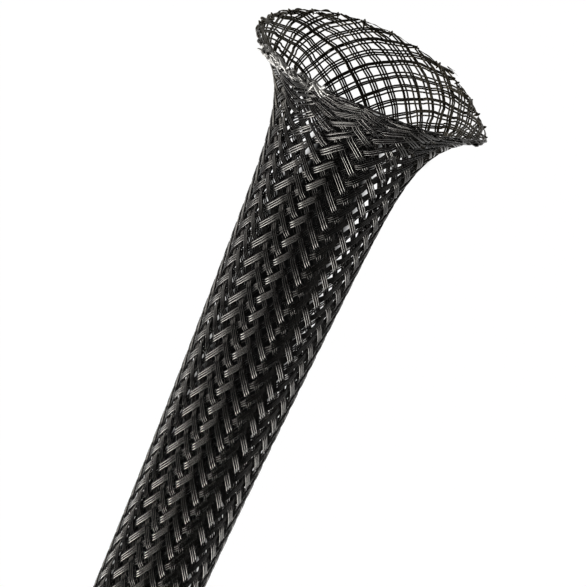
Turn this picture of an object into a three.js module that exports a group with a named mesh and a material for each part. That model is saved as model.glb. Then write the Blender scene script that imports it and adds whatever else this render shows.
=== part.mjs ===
// A one foot cut of expandable braided cable sleeve, lying on a level surface.
// It is one thin walled tube: plain for most of its length, widening gently towards +X
// and ending there in an open flared mouth. Its weave is drawn plainly, as eight strands
// each way at their real slant with open meshes between them, where the real sleeve has
// twenty six strands each way and finer meshes. Millimetres, +Z up.
import * as THREE from 'three';

// Sizes of the sleeve
const sleeveLength = 304.8;      // from the cut end to the outer edge of the mouth
const tubeRadius = 7.0;          // outside, where the tube is plain
const wallThickness = 0.6;       // two crossing layers of filament
const mouthRadius = 16.3;        // outside, at the very edge of the flare
const swellGain = 2.0;           // how much the slow widening adds by the mouth
const swellReach = 53;           // how far back from the mouth the slow widening is felt
const lipReach = 5.2;            // how far back the steep lip is felt
const liftedLength = 200;        // stretch that the wide mouth holds clear of the surface

// The plain weave
const strandsEachWay = 8;
const crossingRows = 56;         // rows of crossings from the mouth to the cut end
const openShare = 0.45;          // of a mesh's width and of its length
const lockRadius = 14.6;         // sets how steeply the strands wind at each radius

const sides = 2 * strandsEachWay;
const lipGain = mouthRadius - tubeRadius - swellGain;

// Outer radius, and its change for each millimetre, at a distance back from the mouth
function outerRadius(back) {
  return tubeRadius + swellGain * Math.exp(-((back / swellReach) ** 2))
    + lipGain * Math.exp(-back / lipReach);
}

function outerSlope(back) {
  const swell = swellGain * Math.exp(-((back / swellReach) ** 2));
  const lip = lipGain * Math.exp(-back / lipReach);
  return -2 * back / swellReach ** 2 * swell - lip / lipReach;
}

// How far a strand turns around the tube in each millimetre along it, in radians. Strands
// lie flatter where the tube is wide, and lock against each other before they lie level.
function windRate(back) {
  const radius = outerRadius(back) - wallThickness / 2;
  const reach = radius / lockRadius;
  const windAngle = Math.asin(reach / (1 + reach ** 8) ** (1 / 8));
  return Math.tan(windAngle) / radius * Math.hypot(1, outerSlope(back));
}

// Distances back from the mouth of the rows of crossings, an equal turn of the strands apart
function rowPlaces() {
  const steps = 4000;
  const step = sleeveLength / steps;
  const turned = [0];
  for (let count = 0; count < steps; count += 1) {
    turned.push(turned[count] + windRate((count + 0.5) * step) * step);
  }
  const places = [];
  let count = 0;
  for (let row = 0; row < crossingRows; row += 1) {
    const wanted = turned[steps] * row / crossingRows;
    while (turned[count + 1] < wanted) {
      count += 1;
    }
    const part = (wanted - turned[count]) / (turned[count + 1] - turned[count]);
    places.push((count + part) * step);
  }
  return [...places, sleeveLength];
}

// A facet lies undermost, so what touches the surface is the middle of a side
const flatShare = Math.cos(Math.PI / sides);

// The edge of the mouth stands on the surface and lifts the tube behind it. The height
// and the lean of the mouth depend on each other, and a few rounds settle them.
function settledRise() {
  let rise = 0;
  for (let round = 0; round < 8; round += 1) {
    const lean = Math.atan(2 * rise / liftedLength);
    rise = (mouthRadius * Math.cos(lean) - tubeRadius) * flatShare;
  }
  return rise;
}

const mouthRise = settledRise();

// Height of the centre line over the plain tube's own, as a strip lifted at its free end
// hangs, and its slope, at a distance from the cut end
function centreLift(along) {
  const share = Math.max(0, 1 - (sleeveLength - along) / liftedLength);
  return mouthRise * (2 * share ** 3 - share ** 4);
}

function centreSlope(along) {
  const share = Math.max(0, 1 - (sleeveLength - along) / liftedLength);
  return mouthRise / liftedLength * (6 * share ** 2 - 4 * share ** 3);
}

// A point of the wall of the bent sleeve, at a depth below its outside
function wallPoint(back, side, depth) {
  const slope = outerSlope(back);
  const steepness = Math.hypot(1, slope);
  const atCutEnd = back === sleeveLength;
  const along = sleeveLength - back - (atCutEnd ? 0 : depth * slope / steepness);
  const radius = outerRadius(back) - depth / steepness;
  const around = (side + 0.5) * 2 * Math.PI / sides;
  const above = radius * Math.cos(around);
  const lean = Math.atan(centreSlope(along));
  return new THREE.Vector3(
    along - above * Math.sin(lean),
    radius * Math.sin(around),
    centreLift(along) + above * Math.cos(lean),
  );
}

// Collects the points and faces of the wall, which has an outer and an inner skin
class Wall {
  points = [];
  faces = [];

  addPoint(point) {
    this.points.push(point);
    return this.points.length - 1;
  }

  addQuad(a, b, c, d) {
    this.faces.push(a, b, c, a, c, d);
  }

  // The same face on both skins, given as (outer, inner) pairs of points
  addToSkins(corners) {
    const [a, b, c] = corners;
    this.faces.push(a.outer, b.outer, c.outer, a.inner, c.inner, b.inner);
  }

  // A point on both skins, part of the way from one pair of points to another
  addBetween(from, to, part) {
    const between = (skin) => this.points[from[skin]].clone()
      .lerp(this.points[to[skin]], part);
    return {
      outer: this.addPoint(between('outer')),
      inner: this.addPoint(between('inner')),
    };
  }

  // The edge of the wall that joins its skins between two neighbouring pairs
  addEdge(here, next) {
    this.addQuad(next.outer, here.outer, here.inner, next.inner);
  }

  geometry() {
    const geometry = new THREE.BufferGeometry().setFromPoints(this.points);
    geometry.setIndex(this.faces);
    return geometry;
  }
}

// One mesh of the weave: four strands around an opening
function addMesh(wall, centre, corners) {
  const opening = corners.map((corner) => wall.addBetween(centre, corner, openShare));
  corners.forEach((corner, index) => {
    const next = (index + 1) % corners.length;
    wall.addToSkins([corner, corners[next], opening[next]]);
    wall.addToSkins([corner, opening[next], opening[index]]);
    wall.addEdge(opening[next], opening[index]);
  });
}

function sleeveGeometry() {
  const wall = new Wall();
  const grid = rowPlaces().map((back) => Array.from({ length: sides }, (_, side) => ({
    outer: wall.addPoint(wallPoint(back, side, 0)),
    inner: wall.addPoint(wallPoint(back, side, wallThickness)),
  })));
  for (let row = 0; row <= crossingRows; row += 1) {
    for (let side = 0; side < sides; side += 1) {
      const before = (side + sides - 1) % sides;
      const after = (side + 1) % sides;
      const towardsMouth = grid[row - 1]?.[side];
      const towardsCut = grid[row + 1]?.[side];
      const centre = grid[row][side];
      if (!towardsMouth) {
        wall.addEdge(centre, grid[row][after]);
      }
      if (!towardsCut) {
        wall.addEdge(grid[row][after], centre);
      }
      const crossing = (row + side) % 2 === 0;
      if (crossing) {
        continue;
      }
      if (towardsMouth && towardsCut) {
        addMesh(wall, centre, [grid[row][before], towardsMouth, grid[row][after], towardsCut]);
      } else if (towardsCut) {
        wall.addToSkins([centre, grid[row][after], towardsCut]);
        wall.addToSkins([centre, towardsCut, grid[row][before]]);
      } else {
        wall.addToSkins([centre, grid[row][before], towardsMouth]);
        wall.addToSkins([centre, towardsMouth, grid[row][after]]);
      }
    }
  }
  const geometry = wall.geometry();
  geometry.computeBoundingBox();
  const { min, max } = geometry.boundingBox;
  geometry.translate(-(min.x + max.x) / 2, 0, -min.z);
  geometry.computeVertexNormals();
  return geometry;
}

const blackFilament = new THREE.MeshStandardMaterial({
  color: 0x18181a,
  roughness: 0.35,
  metalness: 0,
});

const sleeve = new THREE.Mesh(sleeveGeometry(), blackFilament);
sleeve.name = 'braided_sleeve';

const cableSleeve = new THREE.Group();
cableSleeve.add(sleeve);

export default cableSleeve;
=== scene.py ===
"""An expandable braided cable sleeve: its weave of filaments, flared mouth and cut ends.

Lengths are millimetres until a mesh is made, which is in metres. "back" is a distance along the
centre line, back from the mouth. Angles around the tube start at its top and grow towards -Y.
"""

import math

import bpy
import numpy as np
from mathutils import Matrix, Vector


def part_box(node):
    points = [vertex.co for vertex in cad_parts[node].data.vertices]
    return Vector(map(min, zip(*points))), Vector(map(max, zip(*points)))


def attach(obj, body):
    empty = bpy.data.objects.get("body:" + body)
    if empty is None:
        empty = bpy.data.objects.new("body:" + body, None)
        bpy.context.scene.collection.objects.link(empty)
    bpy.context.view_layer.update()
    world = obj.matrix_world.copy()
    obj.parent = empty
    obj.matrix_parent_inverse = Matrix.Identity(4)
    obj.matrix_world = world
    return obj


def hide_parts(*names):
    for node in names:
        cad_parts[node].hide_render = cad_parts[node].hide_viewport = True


MM = 0.001

# The sleeve's shape, as its CAD solid has it
SLEEVE_LENGTH = 304.8
TUBE_RADIUS = 7.0
MOUTH_RADIUS = 16.3
SWELL_GAIN = 2.0
SWELL_REACH = 53.0
LIP_REACH = 5.2
LIFTED_LENGTH = 200.0
LIP_GAIN = MOUTH_RADIUS - TUBE_RADIUS - SWELL_GAIN
SETTLING_ROUNDS = 8

# The weave
STRANDS_EACH_WAY = 26
FILAMENTS_PER_STRAND = 3
FILAMENT_RADIUS = 0.116
FILAMENT_PITCH = 0.279       # between neighbours lying side by side in a strand
OPEN_PITCH = 0.38            # the same where the flare has loosened a strand
OPEN_BACKS = (3.0, 12.0)     # the flare loosens strands wholly up to here, and not from here back
WEAVE_HEIGHT = 0.19          # how far a filament rides above or below the middle of the wall
WEAVE_PERIOD = 4             # crossings from one float to the next
WEAVE_PHASE = {"rising": -0.5, "falling": -2.5}     # in crossings, where a float's middle lies
TURN_SHARPNESS = 3.2         # how suddenly a filament turns over between crossings
WALL_MIDDLE = 0.21           # how far the middle of the weave lies below the solid's outside
LOCK_RADIUS = 14.64          # sets how steeply the strands wind at each radius
LOCK_SHARPNESS = 8
WEAVE_STEP = 2 * math.pi / STRANDS_EACH_WAY
WEAVE_START = math.radians(-6.7)     # where the mouth's first pair of strand ends lies
STRANDS_APART = 0.95 * WEAVE_STEP    # between the first strand ends of the two lays there
TUBE_TWIST = math.radians(-0.0966)   # slow twist of the whole tube, for each millimetre back
LAYS = ("rising", "falling")
STRAND_GROUPS = 4            # pieces that the strands of each lay are shared out among

# How uneven the weave is
STRAND_OPENNESS = (0.35, 1.1)
TIGHT_STRANDS = {"rising": (15, 18), "falling": (11, 16, 17)}
TIGHT_OPENNESS = -0.25
STRAND_LEAN = 0.7            # how far off its middle a loosened strand's middle filament may lie
STRAND_WANDER = (12.0, 0.05)     # (spacing, size) of a strand's slow wander
FILAMENT_WOBBLE = (5.0, 0.012)   # the same for each filament
LOOSE_WOBBLE = (3.0, 0.05)       # and added to it where a strand is loosened
MOUTH_ENDS = (0.03, 0.04)        # (mean, spread) of where filaments end, back from the mouth
CUT_ENDS = (-0.05, 0.04)         # the same, back from the cut end

# The mouth's edge, which is wavy, melted and frayed
WAVE_TWICE = (0.9, 0.3)      # how far the edge lies forward, by cosine and sine of twice the angle
WAVE_ONCE = (-0.1, -0.35)    # the same all around, and by the sine of the angle
WAVE_REACH = 6.0
PINCH_REACH = 0.35           # how far back the heat drew a strand's ends together
PINCH_SHARE = 0.7            # and how much closer at its very end
DENTS = (                    # (angle, width, depth), in degrees and mm; one under 0 stands out
    (-68, 22, 0.9),
    (110, 18, 0.6),
    (76, 14, -0.5),
)

# The melted drop at each pair of strand ends
BEAD_RADII = (0.12, 0.27)
BEAD_BACKS = (0.5, 0.3, 0.12, -0.05, -0.18, -0.26)     # its profile, for a radius of BEAD_SIZE
BEAD_PROFILE = (0.35, 0.75, 1, 0.95, 0.65, 0.3)
BEAD_SIZE = 0.25
BEAD_TURN = 0.004
BEAD_HEIGHT = 0.06

# The thin melted ridges along the edge
RIDGES = (                   # ((first, last) angle, how many, thickness, unevenness)
    ((-150, -60), 2, 0.16, 0.09),
    ((50, 84), 3, 0.2, 0.09),
    ((-178, 178), 1, 0.1, 0.03),
)
RIDGE_STEP = 0.7             # in degrees
RIDGE_BEND = 0.06            # in radians, from one bend of a ridge to the next
RIDGE_LUMPS = (0.03, 0.4)    # (spacing in radians, size) of its lumps
RIDGE_LIMITS = (0.45, 1.8)   # of its thickness
RIDGE_END = 0.08             # sets how its ends taper
RIDGE_TAPER = 0.3

# The short drops where the edge melted most
MELTED_ANGLES = (-66, -14)
MELTED_LUMPS = 110
LUMP_POINTS = 7
LUMP_BACK = 0.15             # they lie about here
LUMP_SPREAD = 0.24           # and this far around it
LUMP_LENGTH = (0.5, 1.8)
LUMP_RADIUS = (0.1, 0.25)
LUMP_HEADING = 0.6           # how far they turn from the edge's run, in radians
LUMP_SLANT = 0.3
LUMP_ROUNDING = 3.0
LUMP_END = 0.15
LUMP_UNEVENNESS = 0.15

# The frayed strand
FRAYED_STRAND = ("falling", 12)
FRAYED_LENGTH = 0.38         # how far forward it runs on beyond the edge
FRAYED_STEPS = (0.85, 0.15)  # shares of that for its first filament, and more for each next one
FRAYED_REACH = math.radians(3.8)     # how far around it runs on
FRAYED_HAIRS = 3
HAIR_POINTS = 9
HAIR_RADIUS = 0.035
HAIR_TAPER = 1.3
HAIR_REACH = (0.07, 0.13)    # around, in radians
HAIR_BACK = (-0.3, 0.9)
HAIR_START = 0.1
HAIR_RISE = (-0.3, 0.6)

# The shade that lies under the sleeve
SHADE_STRIPS = (             # (nearest, furthest) back from the mouth, (least, greatest) Y
    ((8.3, 310.0), (-4.2, 2.9)),
    ((8.3, 11.4), (-10.0, 5.8)),
    ((21.0, 310.0), (-4.2, 5.2)),
)
SHADE_START = 1.0            # how wide it fades out towards the mouth
SHADE_EDGE = 2.0             # and at its sides
SHADE_GLOW = 0.002           # what is left of the floor's glow in it

# The looks of the filament
PATCH_SCALE = 180
PATCH_LIMITS = (0.3, 0.7)
ROUGHNESS_SPREAD = 0.05
GRAIN_SCALE = 2500
GRAIN_STRENGTH = 0.07
GRAIN_DEPTH = 0.00002
POLYESTER_IOR = 1.57
SHEEN = (1, 0.95, 0.88, 1)
PAINTED_BACKLIGHT_BACKS = (3.0, 14.0)    # painted backlight: brown up to this far back from the mouth, and black from here back
PAINTED_BACKLIGHT_HEIGHTS = (13.0, 25.0)     # painted backlight: brown up to this height, and black from here up

# The sockets of a colour Mix node
MIX_FACTOR = 0
MIX_FIRST = 6
MIX_SECOND = 7
MIX_RESULT = 2

# Fineness of the filament meshes
FILAMENT_SIDES = 6
FINE_BACK = 95.0
FINE_STEPS = (0, 0.6, 0.85, 1.15, 1.4, 2, 2.6, 2.85, 3.15, 3.4)
COARSE_STEPS = (0, 0.75, 1.25, 2, 2.75, 3.25)
LEAST_STEP = 0.05
TABLE_STEP = 0.05
TABLE_MARGIN = 2.0
TIP_LENGTH = 0.5             # of a tube's pointed end, for a radius of 1

# The camera, from the photograph: 587 by 587 pixels
PHOTO_SIZE = 587
FOCAL_PIXELS = 2316.0
MOUTH_PIXEL = (373.5, 72.9)
MOUTH_DISTANCE = 294.0
AXIS_LEAN = math.radians(23.8)       # clockwise from upright in the picture
AXIS_TOWARDS = math.radians(23.6)    # out of the picture, towards the camera
SENSOR_WIDTH = 36.0
VISIBLE_MIDDLE = 35.0        # back from the mouth, the middle of what the photograph shows

# The lights and the floor, in metres and watts
LIT_POINT = Vector((0.11, 0, 0.01))
LIGHT_DISTANCE = 0.5
LIGHT_SIZE = 0.34
LIGHTS = (                   # (name, degrees above the floor, bearing from +X, power)
    ("left", 12, 90, 3.2),
    ("rear_left", 12, 142, 1.5),
    ("rear", 6, 172, 6.4),
    ("rear_right", 9, 190, 3.2),
    ("rear_high", 24, 176, 0.4),
    ("front", 60, 0, 0.3),
)
WORLD_STRENGTH = 0.004
VIEW_GAMMA = 0.8             # below 1 for deeper blacks
FLOOR_SIZE = 3
FLOOR_DROP = 0.0002

rng = np.random.default_rng(52)


def outer_radius(back):
    return (
        TUBE_RADIUS
        + SWELL_GAIN * np.exp(-((back / SWELL_REACH) ** 2))
        + LIP_GAIN * np.exp(-back / LIP_REACH)
    )


def outer_slope(back):
    swell = SWELL_GAIN * np.exp(-((back / SWELL_REACH) ** 2))
    lip = LIP_GAIN * np.exp(-back / LIP_REACH)
    return -2 * back / SWELL_REACH**2 * swell - lip / LIP_REACH


def settled_rise():
    """How far the mouth's centre stands above the plain tube's, with its edge on the floor."""
    rise = 0.0
    for _ in range(SETTLING_ROUNDS):
        lean = math.atan(2 * rise / LIFTED_LENGTH)
        rise = MOUTH_RADIUS * math.cos(lean) - TUBE_RADIUS
    return rise


MOUTH_RISE = settled_rise()


def centre_line(back, mouth_x):
    """(x, z, lean) of the centre line at a distance back from the mouth."""
    share = np.clip(1 - back / LIFTED_LENGTH, 0, None)
    lift = MOUTH_RISE * (2 * share**3 - share**4)
    slope = MOUTH_RISE / LIFTED_LENGTH * (6 * share**2 - 4 * share**3)
    return mouth_x - back, TUBE_RADIUS + lift, np.arctan(slope)


# The turn that a strand has made at each distance back from the mouth
back_table = np.arange(-TABLE_MARGIN, SLEEVE_LENGTH + TABLE_MARGIN, TABLE_STEP)
middle_radius = outer_radius(back_table) - WALL_MIDDLE
lock_share = middle_radius / LOCK_RADIUS
wind_sine = lock_share / (1 + lock_share**LOCK_SHARPNESS) ** (1 / LOCK_SHARPNESS)
wind_angle = np.arcsin(wind_sine)
surface_step = np.hypot(1, outer_slope(back_table)) * TABLE_STEP
turn_steps = np.tan(wind_angle) / middle_radius * surface_step
turn_table = -np.cumsum(turn_steps)
turn_table -= np.interp(0, back_table, turn_table)


def smooth_noise(positions, spacing, size):
    """A smooth random wave along positions, about size high, with one bend for each spacing."""
    low = positions.min() - spacing
    high = positions.max() + spacing
    knots = np.arange(low, high + spacing, spacing)
    values = rng.normal(0, size, len(knots))
    place = (positions - low) / spacing
    first = np.clip(place.astype(int), 0, len(knots) - 2)
    part = place - first
    part = part * part * (3 - 2 * part)
    return values[first] * (1 - part) + values[first + 1] * part


def openness(back):
    """0 where a strand's filaments lie together, 1 where the flare has opened it."""
    whole, none = OPEN_BACKS
    part = np.clip((none - back) / (none - whole), 0, 1)
    return part * part * (3 - 2 * part)


def edge_shift(angle):
    """How far forward of a plain mouth the edge lies, at an angle around the tube."""
    return (
        WAVE_TWICE[0] * np.cos(2 * angle)
        + WAVE_TWICE[1] * np.sin(2 * angle)
        + WAVE_ONCE[0]
        + WAVE_ONCE[1] * np.sin(angle)
    )


def dent_depth(angle):
    """How far the mouth's wall is pressed in, at an angle around the tube."""
    depth = 0.0
    for place, width, deepest in DENTS:
        apart = np.angle(np.exp(1j * (angle - math.radians(place))))
        depth = depth + deepest * np.exp(-((apart / math.radians(width)) ** 2))
    return depth


def float_height(place):
    """+1 over the other lay, -1 under it, turning over between crossings."""
    turn = 2 * math.pi / WEAVE_PERIOD * place
    return np.tanh(TURN_SHARPNESS * np.cos(turn)) / math.tanh(TURN_SHARPNESS)


def crowded_steps(place_table, steps, nearest, furthest):
    """Distances back at which a filament reaches each of the steps of its weave period."""
    low, high = sorted(np.interp((nearest, furthest), back_table, place_table))
    periods = np.arange(math.floor(low / WEAVE_PERIOD), math.ceil(high / WEAVE_PERIOD) + 1)
    places = (periods[:, None] * WEAVE_PERIOD + np.array(steps)).ravel()
    order = np.argsort(place_table)
    found = np.interp(places, place_table[order], back_table[order])
    return np.sort(found[(found > nearest + LEAST_STEP) & (found < furthest - LEAST_STEP)])


def filament_path(lay, strand, place_in_strand):
    """(back, angle, height) along one filament, from the mouth to the cut end."""
    side = place_in_strand - (FILAMENTS_PER_STRAND - 1) / 2
    loosened = openness(back_table)
    spread = loosened * strand_openness[lay][strand]
    if side == 0:
        side = strand_lean[lay][strand] * loosened
    apart = side * (FILAMENT_PITCH + (OPEN_PITCH - FILAMENT_PITCH) * spread)
    apart = apart + smooth_noise(back_table, *FILAMENT_WOBBLE)
    apart = apart + smooth_noise(back_table, *LOOSE_WOBBLE) * spread
    apart = apart * (1 - PINCH_SHARE * np.exp(-np.clip(back_table, 0, None) / PINCH_REACH))
    apart = apart + strand_wander[lay][strand] * (1 + loosened)
    turned = apart / (middle_radius * np.cos(wind_angle))

    way = 1 if lay == "rising" else -1
    first = WEAVE_START + way * STRANDS_APART / 2
    twist = TUBE_TWIST * back_table
    angle_table = first + twist + strand * WEAVE_STEP + way * turn_table + turned
    crossing_table = (2 * turn_table + STRANDS_APART + way * turned) / WEAVE_STEP
    place_table = 2 * strand + way * crossing_table + WEAVE_PHASE[lay]

    end_near = rng.normal(*MOUTH_ENDS)
    if (lay, strand) == FRAYED_STRAND:
        end_near -= FRAYED_LENGTH * (FRAYED_STEPS[0] + FRAYED_STEPS[1] * place_in_strand)
    end_far = SLEEVE_LENGTH + rng.normal(*CUT_ENDS)
    back = np.concatenate(
        (
            [end_near],
            crowded_steps(place_table, FINE_STEPS, end_near, FINE_BACK),
            crowded_steps(place_table, COARSE_STEPS, FINE_BACK, end_far),
            [end_far],
        )
    )
    angle = np.interp(back, back_table, angle_table)
    place = np.interp(back, back_table, place_table)
    height = WEAVE_HEIGHT * float_height(place)
    return back, angle, height


def on_sleeve(back, angle, height, mouth_x):
    """Points of the bent sleeve, and the direction out of its wall there."""
    fading = np.exp(-np.clip(back, 0, None) / WAVE_REACH)
    radius = outer_radius(back) - WALL_MIDDLE - dent_depth(angle) * fading
    slope = outer_slope(back)
    steepness = np.hypot(1, slope)
    wave = edge_shift(angle) * fading
    out = radius + height / steepness
    x, z, lean = centre_line(back - wave - height * slope / steepness, mouth_x)
    across = -np.sin(angle)
    above = np.cos(angle)
    points = np.stack(
        (x - out * above * np.sin(lean), out * across, z + out * above * np.cos(lean)), 1
    )
    tip = slope / steepness
    flat = 1 / steepness
    normals = np.stack(
        (
            tip * np.cos(lean) - flat * above * np.sin(lean),
            flat * across,
            tip * np.sin(lean) + flat * above * np.cos(lean),
        ),
        1,
    )
    return points, normals


def edge_bead(angle, size):
    """The melted drop that joins two strand ends at the mouth's edge."""
    back = np.array(BEAD_BACKS) * size / BEAD_SIZE
    angles = angle + rng.normal(0, BEAD_TURN) * np.linspace(-1, 1, len(back))
    height = np.full(len(back), rng.normal(0, BEAD_HEIGHT))
    radii = size * np.array(BEAD_PROFILE)
    return back, angles, height, radii


def melted_ridge(first, last, thickness, unevenness):
    """A lumpy run of melted filament along the mouth's edge, between two angles in degrees."""
    angles = np.radians(np.arange(first, last, RIDGE_STEP))
    back = rng.normal(0, unevenness) + smooth_noise(angles, RIDGE_BEND, unevenness)
    height = rng.normal(0, unevenness) + smooth_noise(angles, RIDGE_BEND, unevenness)
    lumps = 1 + smooth_noise(angles, *RIDGE_LUMPS)
    along = np.linspace(RIDGE_END, math.pi - RIDGE_END, len(angles))
    radii = thickness * np.clip(lumps, *RIDGE_LIMITS) * np.sin(along) ** RIDGE_TAPER
    return back, angles, height, radii


def melted_lump(first, last):
    """A short drop of melted filament, at the mouth's edge between two angles in degrees."""
    steps = np.linspace(-0.5, 0.5, LUMP_POINTS)
    length = rng.uniform(*LUMP_LENGTH)
    heading = rng.normal(0, LUMP_HEADING)
    angle = math.radians(rng.uniform(first, last))
    angles = angle + steps * length * math.cos(heading) / MOUTH_RADIUS
    back = rng.normal(LUMP_BACK, LUMP_SPREAD) + steps * length * math.sin(heading)
    height = rng.normal(0, LUMP_SPREAD) + rng.normal(0, LUMP_SLANT) * steps * length
    rounding = np.clip(np.cos(steps * LUMP_ROUNDING), LUMP_END, 1) ** 0.5
    radii = rng.uniform(*LUMP_RADIUS) * rounding
    radii = radii * (1 + rng.normal(0, LUMP_UNEVENNESS, len(steps)))
    return back, angles, height, radii


def frayed_hair():
    """A fine hair that stands off from the end of the frayed strand."""
    strand = FRAYED_STRAND[1]
    root = WEAVE_START - STRANDS_APART / 2 + strand * WEAVE_STEP
    steps = np.linspace(0, 1, HAIR_POINTS)
    angles = root - FRAYED_REACH - steps * rng.uniform(*HAIR_REACH)
    back = -FRAYED_LENGTH + steps**2 * rng.uniform(*HAIR_BACK)
    height = rng.uniform(-HAIR_START, HAIR_START) + steps**2 * rng.uniform(*HAIR_RISE)
    radii = HAIR_RADIUS * (HAIR_TAPER - steps)
    return back, angles, height, radii


def tube(points, normals, radii):
    """(vertices, quads, end triangles) of a closed tube along points."""
    count = len(points)
    tangents = np.gradient(points, axis=0)
    tangents /= np.linalg.norm(tangents, axis=1)[:, None]
    outward = normals - (normals * tangents).sum(1)[:, None] * tangents
    outward /= np.linalg.norm(outward, axis=1)[:, None]
    sideways = np.cross(tangents, outward)
    turns = (np.arange(FILAMENT_SIDES) + 0.5) * 2 * math.pi / FILAMENT_SIDES
    ring = (
        outward[:, None, :] * np.cos(turns)[None, :, None]
        + sideways[:, None, :] * np.sin(turns)[None, :, None]
    )
    vertices = (points[:, None, :] + ring * radii[:, None, None]).reshape(-1, 3)
    first = np.arange(count - 1)[:, None] * FILAMENT_SIDES
    here = np.arange(FILAMENT_SIDES)[None, :]
    after = (here + 1) % FILAMENT_SIDES
    quads = np.stack(
        (first + here, first + after, first + FILAMENT_SIDES + after, first + FILAMENT_SIDES + here),
        2,
    ).reshape(-1, 4)
    last = (count - 1) * FILAMENT_SIDES
    start_cap = np.stack((np.full(FILAMENT_SIDES, len(vertices)), after[0], here[0]), 1)
    end_cap = np.stack(
        (np.full(FILAMENT_SIDES, len(vertices) + 1), last + here[0], last + after[0]), 1
    )
    start_tip = points[0] - tangents[0] * radii[0] * TIP_LENGTH
    end_tip = points[-1] + tangents[-1] * radii[-1] * TIP_LENGTH
    vertices = np.vstack((vertices, start_tip, end_tip))
    return vertices, quads, np.vstack((start_cap, end_cap))


def mesh_piece(name, parts, material):
    """One object from many closed tubes."""
    vertices = []
    loops = []
    sizes = []
    base = 0
    for points, quads, triangles in parts:
        vertices.append(points)
        loops.append((quads + base).ravel())
        sizes.append(np.full(len(quads), 4))
        loops.append((triangles + base).ravel())
        sizes.append(np.full(len(triangles), 3))
        base += len(points)
    vertices = np.vstack(vertices) * MM
    loops = np.concatenate(loops)
    sizes = np.concatenate(sizes)
    starts = np.concatenate(([0], np.cumsum(sizes)[:-1]))
    mesh = bpy.data.meshes.new(name)
    mesh.vertices.add(len(vertices))
    mesh.vertices.foreach_set("co", vertices.astype(np.float32).ravel())
    mesh.loops.add(len(loops))
    mesh.loops.foreach_set("vertex_index", loops.astype(np.int32))
    mesh.polygons.add(len(sizes))
    mesh.polygons.foreach_set("loop_start", starts.astype(np.int32))
    mesh.polygons.foreach_set("use_smooth", np.ones(len(sizes), bool))
    mesh.update(calc_edges=True)
    mesh.validate()
    mesh.materials.append(material)
    piece = bpy.data.objects.new(name, mesh)
    bpy.context.scene.collection.objects.link(piece)
    return piece


def painted_backlight_mix(nodes, links, painted_backlight, colour):
    """A node whose result turns to a colour where the painted backlight lies on the filament."""
    mix = nodes.new("ShaderNodeMix")
    mix.data_type = "RGBA"
    mix.inputs[MIX_SECOND].default_value = colour
    links.new(painted_backlight, mix.inputs[MIX_FACTOR])
    return mix


def filament_material(
    name, mouth_x, roughness, darkest, lightest, painted_backlight_base, painted_backlight_sheen
):
    """Black polyester monofilament, smooth and glossy, with a painted backlight: a warm brown in its
    colour and gloss, low down near the mouth.
    """
    material = bpy.data.materials.new(name)
    material.use_nodes = True
    nodes = material.node_tree.nodes
    links = material.node_tree.links
    shader = nodes["Principled BSDF"]
    place = nodes.new("ShaderNodeTexCoord")
    patches = nodes.new("ShaderNodeTexNoise")
    patches.inputs["Scale"].default_value = PATCH_SCALE
    patches.inputs["Detail"].default_value = 3
    links.new(place.outputs["Object"], patches.inputs["Vector"])
    colour = nodes.new("ShaderNodeValToRGB")
    colour.color_ramp.elements[0].position = PATCH_LIMITS[0]
    colour.color_ramp.elements[0].color = darkest
    colour.color_ramp.elements[1].position = PATCH_LIMITS[1]
    colour.color_ramp.elements[1].color = lightest
    links.new(patches.outputs["Fac"], colour.inputs["Fac"])
    axes = nodes.new("ShaderNodeSeparateXYZ")
    links.new(place.outputs["Object"], axes.inputs["Vector"])
    nearest, furthest = (mouth_x - back for back in PAINTED_BACKLIGHT_BACKS)
    near_mouth = shaded_part(nodes, links, axes.outputs["X"], nearest, furthest)
    low_down = shaded_part(nodes, links, axes.outputs["Z"], *PAINTED_BACKLIGHT_HEIGHTS)
    # painted backlight: warm brown colour and gloss where the filaments lie low near the mouth,
    # against the glowing floor
    painted_backlight = joined(nodes, links, "MULTIPLY", near_mouth, low_down)
    mixed = painted_backlight_mix(nodes, links, painted_backlight, painted_backlight_base)
    links.new(colour.outputs["Color"], mixed.inputs[MIX_FIRST])
    links.new(mixed.outputs[MIX_RESULT], shader.inputs["Base Color"])
    sheen = painted_backlight_mix(nodes, links, painted_backlight, painted_backlight_sheen)
    sheen.inputs[MIX_FIRST].default_value = SHEEN
    links.new(sheen.outputs[MIX_RESULT], shader.inputs["Specular Tint"])
    gloss = nodes.new("ShaderNodeMapRange")
    gloss.inputs["To Min"].default_value = roughness - ROUGHNESS_SPREAD
    gloss.inputs["To Max"].default_value = roughness + ROUGHNESS_SPREAD
    links.new(patches.outputs["Fac"], gloss.inputs["Value"])
    links.new(gloss.outputs["Result"], shader.inputs["Roughness"])
    grain = nodes.new("ShaderNodeTexNoise")
    grain.inputs["Scale"].default_value = GRAIN_SCALE
    grain.inputs["Detail"].default_value = 2
    links.new(place.outputs["Object"], grain.inputs["Vector"])
    bump = nodes.new("ShaderNodeBump")
    bump.inputs["Strength"].default_value = GRAIN_STRENGTH
    bump.inputs["Distance"].default_value = GRAIN_DEPTH
    links.new(grain.outputs["Fac"], bump.inputs["Height"])
    links.new(bump.outputs["Normal"], shader.inputs["Normal"])
    shader.inputs["IOR"].default_value = POLYESTER_IOR
    return material


def shaded_part(nodes, links, value, near, far):
    """A shader value that falls smoothly from 1 at near to 0 at far."""
    fade = nodes.new("ShaderNodeMapRange")
    fade.interpolation_type = "SMOOTHSTEP"
    fade.inputs["From Min"].default_value = near * MM
    fade.inputs["From Max"].default_value = far * MM
    fade.inputs["To Min"].default_value = 1
    fade.inputs["To Max"].default_value = 0
    links.new(value, fade.inputs["Value"])
    return fade.outputs["Result"]


def joined(nodes, links, operation, first, second):
    """One shader value from two, by a Math node's operation."""
    node = nodes.new("ShaderNodeMath")
    node.operation = operation
    links.new(first, node.inputs[0])
    links.new(second, node.inputs[1])
    return node.outputs["Value"]


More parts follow.
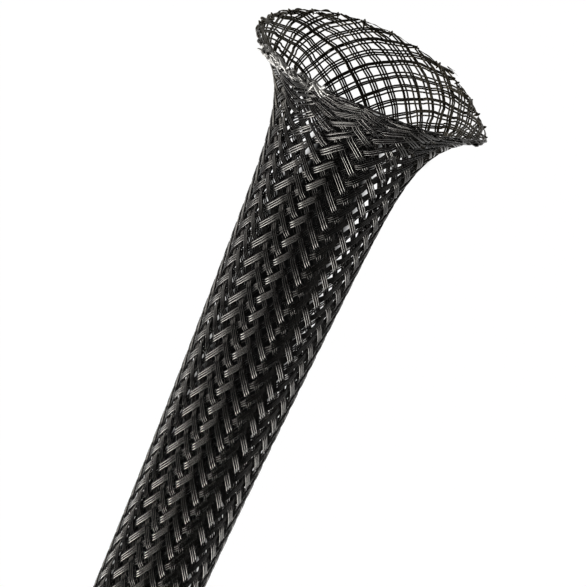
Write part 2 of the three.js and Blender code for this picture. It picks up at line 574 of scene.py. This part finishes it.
def shade_strip(nodes, links, axes, backs, sides, mouth_x):
    """A shader value that is 1 over a strip of the floor and fades to 0 at its edges."""
    nearest, furthest = (mouth_x - back for back in backs)
    edges = (
        ("X", nearest - SHADE_START, nearest),
        ("X", furthest, furthest - SHADE_EDGE),
        ("Y", sides[0], sides[0] - SHADE_EDGE),
        ("Y", sides[1], sides[1] + SHADE_EDGE),
    )
    strip = None
    for axis, inside, outside in edges:
        edge = shaded_part(nodes, links, axes.outputs[axis], inside, outside)
        strip = edge if strip is None else joined(nodes, links, "MULTIPLY", strip, edge)
    return strip


def floor_material(mouth_x):
    """A white surface that glows like a light table, except in the sleeve's own shade."""
    material = bpy.data.materials.new("white_floor")
    material.use_nodes = True
    nodes = material.node_tree.nodes
    links = material.node_tree.links
    shader = nodes["Principled BSDF"]
    shader.inputs["Base Color"].default_value = (0.004, 0.004, 0.004, 1)
    shader.inputs["Specular IOR Level"].default_value = 0
    shader.inputs["Roughness"].default_value = 0.9
    shader.inputs["Emission Color"].default_value = (1, 1, 1, 1)
    place = nodes.new("ShaderNodeTexCoord")
    axes = nodes.new("ShaderNodeSeparateXYZ")
    links.new(place.outputs["Object"], axes.inputs["Vector"])
    strips = [shade_strip(nodes, links, axes, *strip, mouth_x) for strip in SHADE_STRIPS]
    shade = strips[0]
    for strip in strips[1:]:
        shade = joined(nodes, links, "MAXIMUM", shade, strip)
    glow = nodes.new("ShaderNodeMapRange")
    glow.inputs["To Min"].default_value = 1
    glow.inputs["To Max"].default_value = SHADE_GLOW
    links.new(shade, glow.inputs["Value"])
    links.new(glow.outputs["Result"], shader.inputs["Emission Strength"])
    return material


def add_camera(mouth_x):
    """Looks down the photograph's line of sight, with the mouth at its place in the picture."""
    _, _, lean = centre_line(np.array([VISIBLE_MIDDLE]), mouth_x)
    lean = float(lean[0])
    along = Vector((math.cos(lean), 0, math.sin(lean)))
    across = Vector((0, -1, 0))
    above = across.cross(along)
    along_seen = Vector(
        (
            math.cos(AXIS_TOWARDS) * math.sin(AXIS_LEAN),
            math.cos(AXIS_TOWARDS) * math.cos(AXIS_LEAN),
            math.sin(AXIS_TOWARDS),
        )
    )
    across_seen = Vector((math.cos(AXIS_LEAN), -math.sin(AXIS_LEAN), 0))
    above_seen = across_seen.cross(along_seen)
    world = Matrix((along, across, above)).transposed()
    seen = Matrix((along_seen, across_seen, above_seen)).transposed()
    turn = world @ seen.transposed()
    mouth_seen = Vector(
        (
            (MOUTH_PIXEL[0] - PHOTO_SIZE / 2) / FOCAL_PIXELS * MOUTH_DISTANCE,
            (PHOTO_SIZE / 2 - MOUTH_PIXEL[1]) / FOCAL_PIXELS * MOUTH_DISTANCE,
            -MOUTH_DISTANCE,
        )
    )
    mouth = Vector((mouth_x, 0, TUBE_RADIUS + MOUTH_RISE))
    data = bpy.data.cameras.new("camera")
    data.sensor_width = SENSOR_WIDTH
    data.lens = FOCAL_PIXELS / PHOTO_SIZE * SENSOR_WIDTH
    data.clip_start = 0.01
    data.clip_end = 10
    camera = bpy.data.objects.new("camera", data)
    camera.matrix_world = Matrix.Translation((mouth - turn @ mouth_seen) * MM) @ turn.to_4x4()
    bpy.context.scene.collection.objects.link(camera)
    bpy.context.scene.camera = camera


def add_light(name, height, bearing, power):
    """A square light at an angle above the floor and a bearing from +X, both in degrees."""
    up = math.radians(height)
    turn = math.radians(bearing)
    direction = Vector(
        (math.cos(up) * math.cos(turn), math.cos(up) * math.sin(turn), math.sin(up))
    )
    place = LIT_POINT + LIGHT_DISTANCE * direction
    data = bpy.data.lights.new(name, "AREA")
    data.size = LIGHT_SIZE
    data.energy = power
    light = bpy.data.objects.new(name, data)
    light.location = place
    light.rotation_euler = (-direction).to_track_quat("-Z", "Y").to_euler()
    bpy.context.scene.collection.objects.link(light)


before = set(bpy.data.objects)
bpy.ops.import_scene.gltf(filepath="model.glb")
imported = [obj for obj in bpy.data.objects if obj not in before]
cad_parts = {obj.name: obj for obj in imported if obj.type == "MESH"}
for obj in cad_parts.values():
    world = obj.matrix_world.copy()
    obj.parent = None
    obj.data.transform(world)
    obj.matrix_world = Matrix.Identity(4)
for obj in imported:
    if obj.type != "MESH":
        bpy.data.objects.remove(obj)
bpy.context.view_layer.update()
sleeve_low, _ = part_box("braided_sleeve")
cut_end_x = sleeve_low.x / MM
mouth_x = cut_end_x + SLEEVE_LENGTH
add_camera(mouth_x)

strand_openness = {}
strand_lean = {}
strand_wander = {}
for lay in LAYS:
    strand_openness[lay] = rng.uniform(*STRAND_OPENNESS, STRANDS_EACH_WAY)
    strand_openness[lay][list(TIGHT_STRANDS[lay])] = TIGHT_OPENNESS
    strand_lean[lay] = rng.uniform(-STRAND_LEAN, STRAND_LEAN, STRANDS_EACH_WAY)
    strand_wander[lay] = [
        smooth_noise(back_table, *STRAND_WANDER) for _ in range(STRANDS_EACH_WAY)
    ]

filament = filament_material(
    "filament",
    mouth_x,
    roughness=0.14,
    darkest=(0.001, 0.001, 0.0012, 1),
    lightest=(0.003, 0.0025, 0.002, 1),
    # painted backlight: the warm brown colour and gloss tint low down near the mouth
    painted_backlight_base=(0.013, 0.009, 0.003, 1),
    painted_backlight_sheen=(1, 0.9, 0.7, 1),
)
# Melted drops, whose pale grey colour is a painted highlight
melted_filament_painted_highlight = filament_material(
    "melted_filament_painted_highlight",
    mouth_x,
    roughness=0.25,
    darkest=(0.03, 0.03, 0.03, 1),
    # painted highlight: the pale grey that the melted drops' colour reaches stands in for the light
    # they catch
    lightest=(0.5, 0.49, 0.47, 1),
    # painted backlight: the brown colour low down near the mouth; the gloss tint there stays white
    painted_backlight_base=(0.02, 0.018, 0.015, 1),
    painted_backlight_sheen=(1, 1, 1, 1),
)
pieces = []
for lay in LAYS:
    for group in range(STRAND_GROUPS):
        parts = []
        for strand in range(group, STRANDS_EACH_WAY, STRAND_GROUPS):
            for place_in_strand in range(FILAMENTS_PER_STRAND):
                back, angle, height = filament_path(lay, strand, place_in_strand)
                points, normals = on_sleeve(back, angle, height, mouth_x)
                radii = np.full(len(points), FILAMENT_RADIUS)
                parts.append(tube(points, normals, radii))
        piece = mesh_piece(f"{lay}_strands_{group + 1}", parts, filament)
        pieces.append(piece)

parts = []
edge_runs = [
    edge_bead(WEAVE_START + (node + 0.5) * WEAVE_STEP, rng.uniform(*BEAD_RADII))
    for node in range(STRANDS_EACH_WAY)
]
for angles, count, thickness, unevenness in RIDGES:
    edge_runs += [melted_ridge(*angles, thickness, unevenness) for _ in range(count)]
edge_runs += [frayed_hair() for _ in range(FRAYED_HAIRS)]
for back, angle, height, radii in edge_runs:
    points, normals = on_sleeve(back, angle, height, mouth_x)
    parts.append(tube(points, normals, radii))
pieces.append(mesh_piece("edge_beads", parts, filament))

parts = []
for back, angle, height, radii in [melted_lump(*MELTED_ANGLES) for _ in range(MELTED_LUMPS)]:
    points, normals = on_sleeve(back, angle, height, mouth_x)
    parts.append(tube(points, normals, radii))
pieces.append(mesh_piece("melted_edge", parts, melted_filament_painted_highlight))

for piece in pieces:
    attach(piece, "root")
    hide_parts("braided_sleeve")

bpy.ops.mesh.primitive_plane_add(size=FLOOR_SIZE, location=(0, 0, -FLOOR_DROP))
floor = bpy.context.object
floor.name = "floor"
floor.data.materials.append(floor_material(mouth_x))

world = bpy.data.worlds.new("studio")
bpy.context.scene.world = world
world.use_nodes = True
background = world.node_tree.nodes["Background"]
background.inputs["Color"].default_value = (1, 1, 1, 1)
background.inputs["Strength"].default_value = WORLD_STRENGTH
for light in LIGHTS:
    add_light(*light)
bpy.context.scene.view_settings.view_transform = "Standard"
bpy.context.scene.view_settings.gamma = VIEW_GAMMA
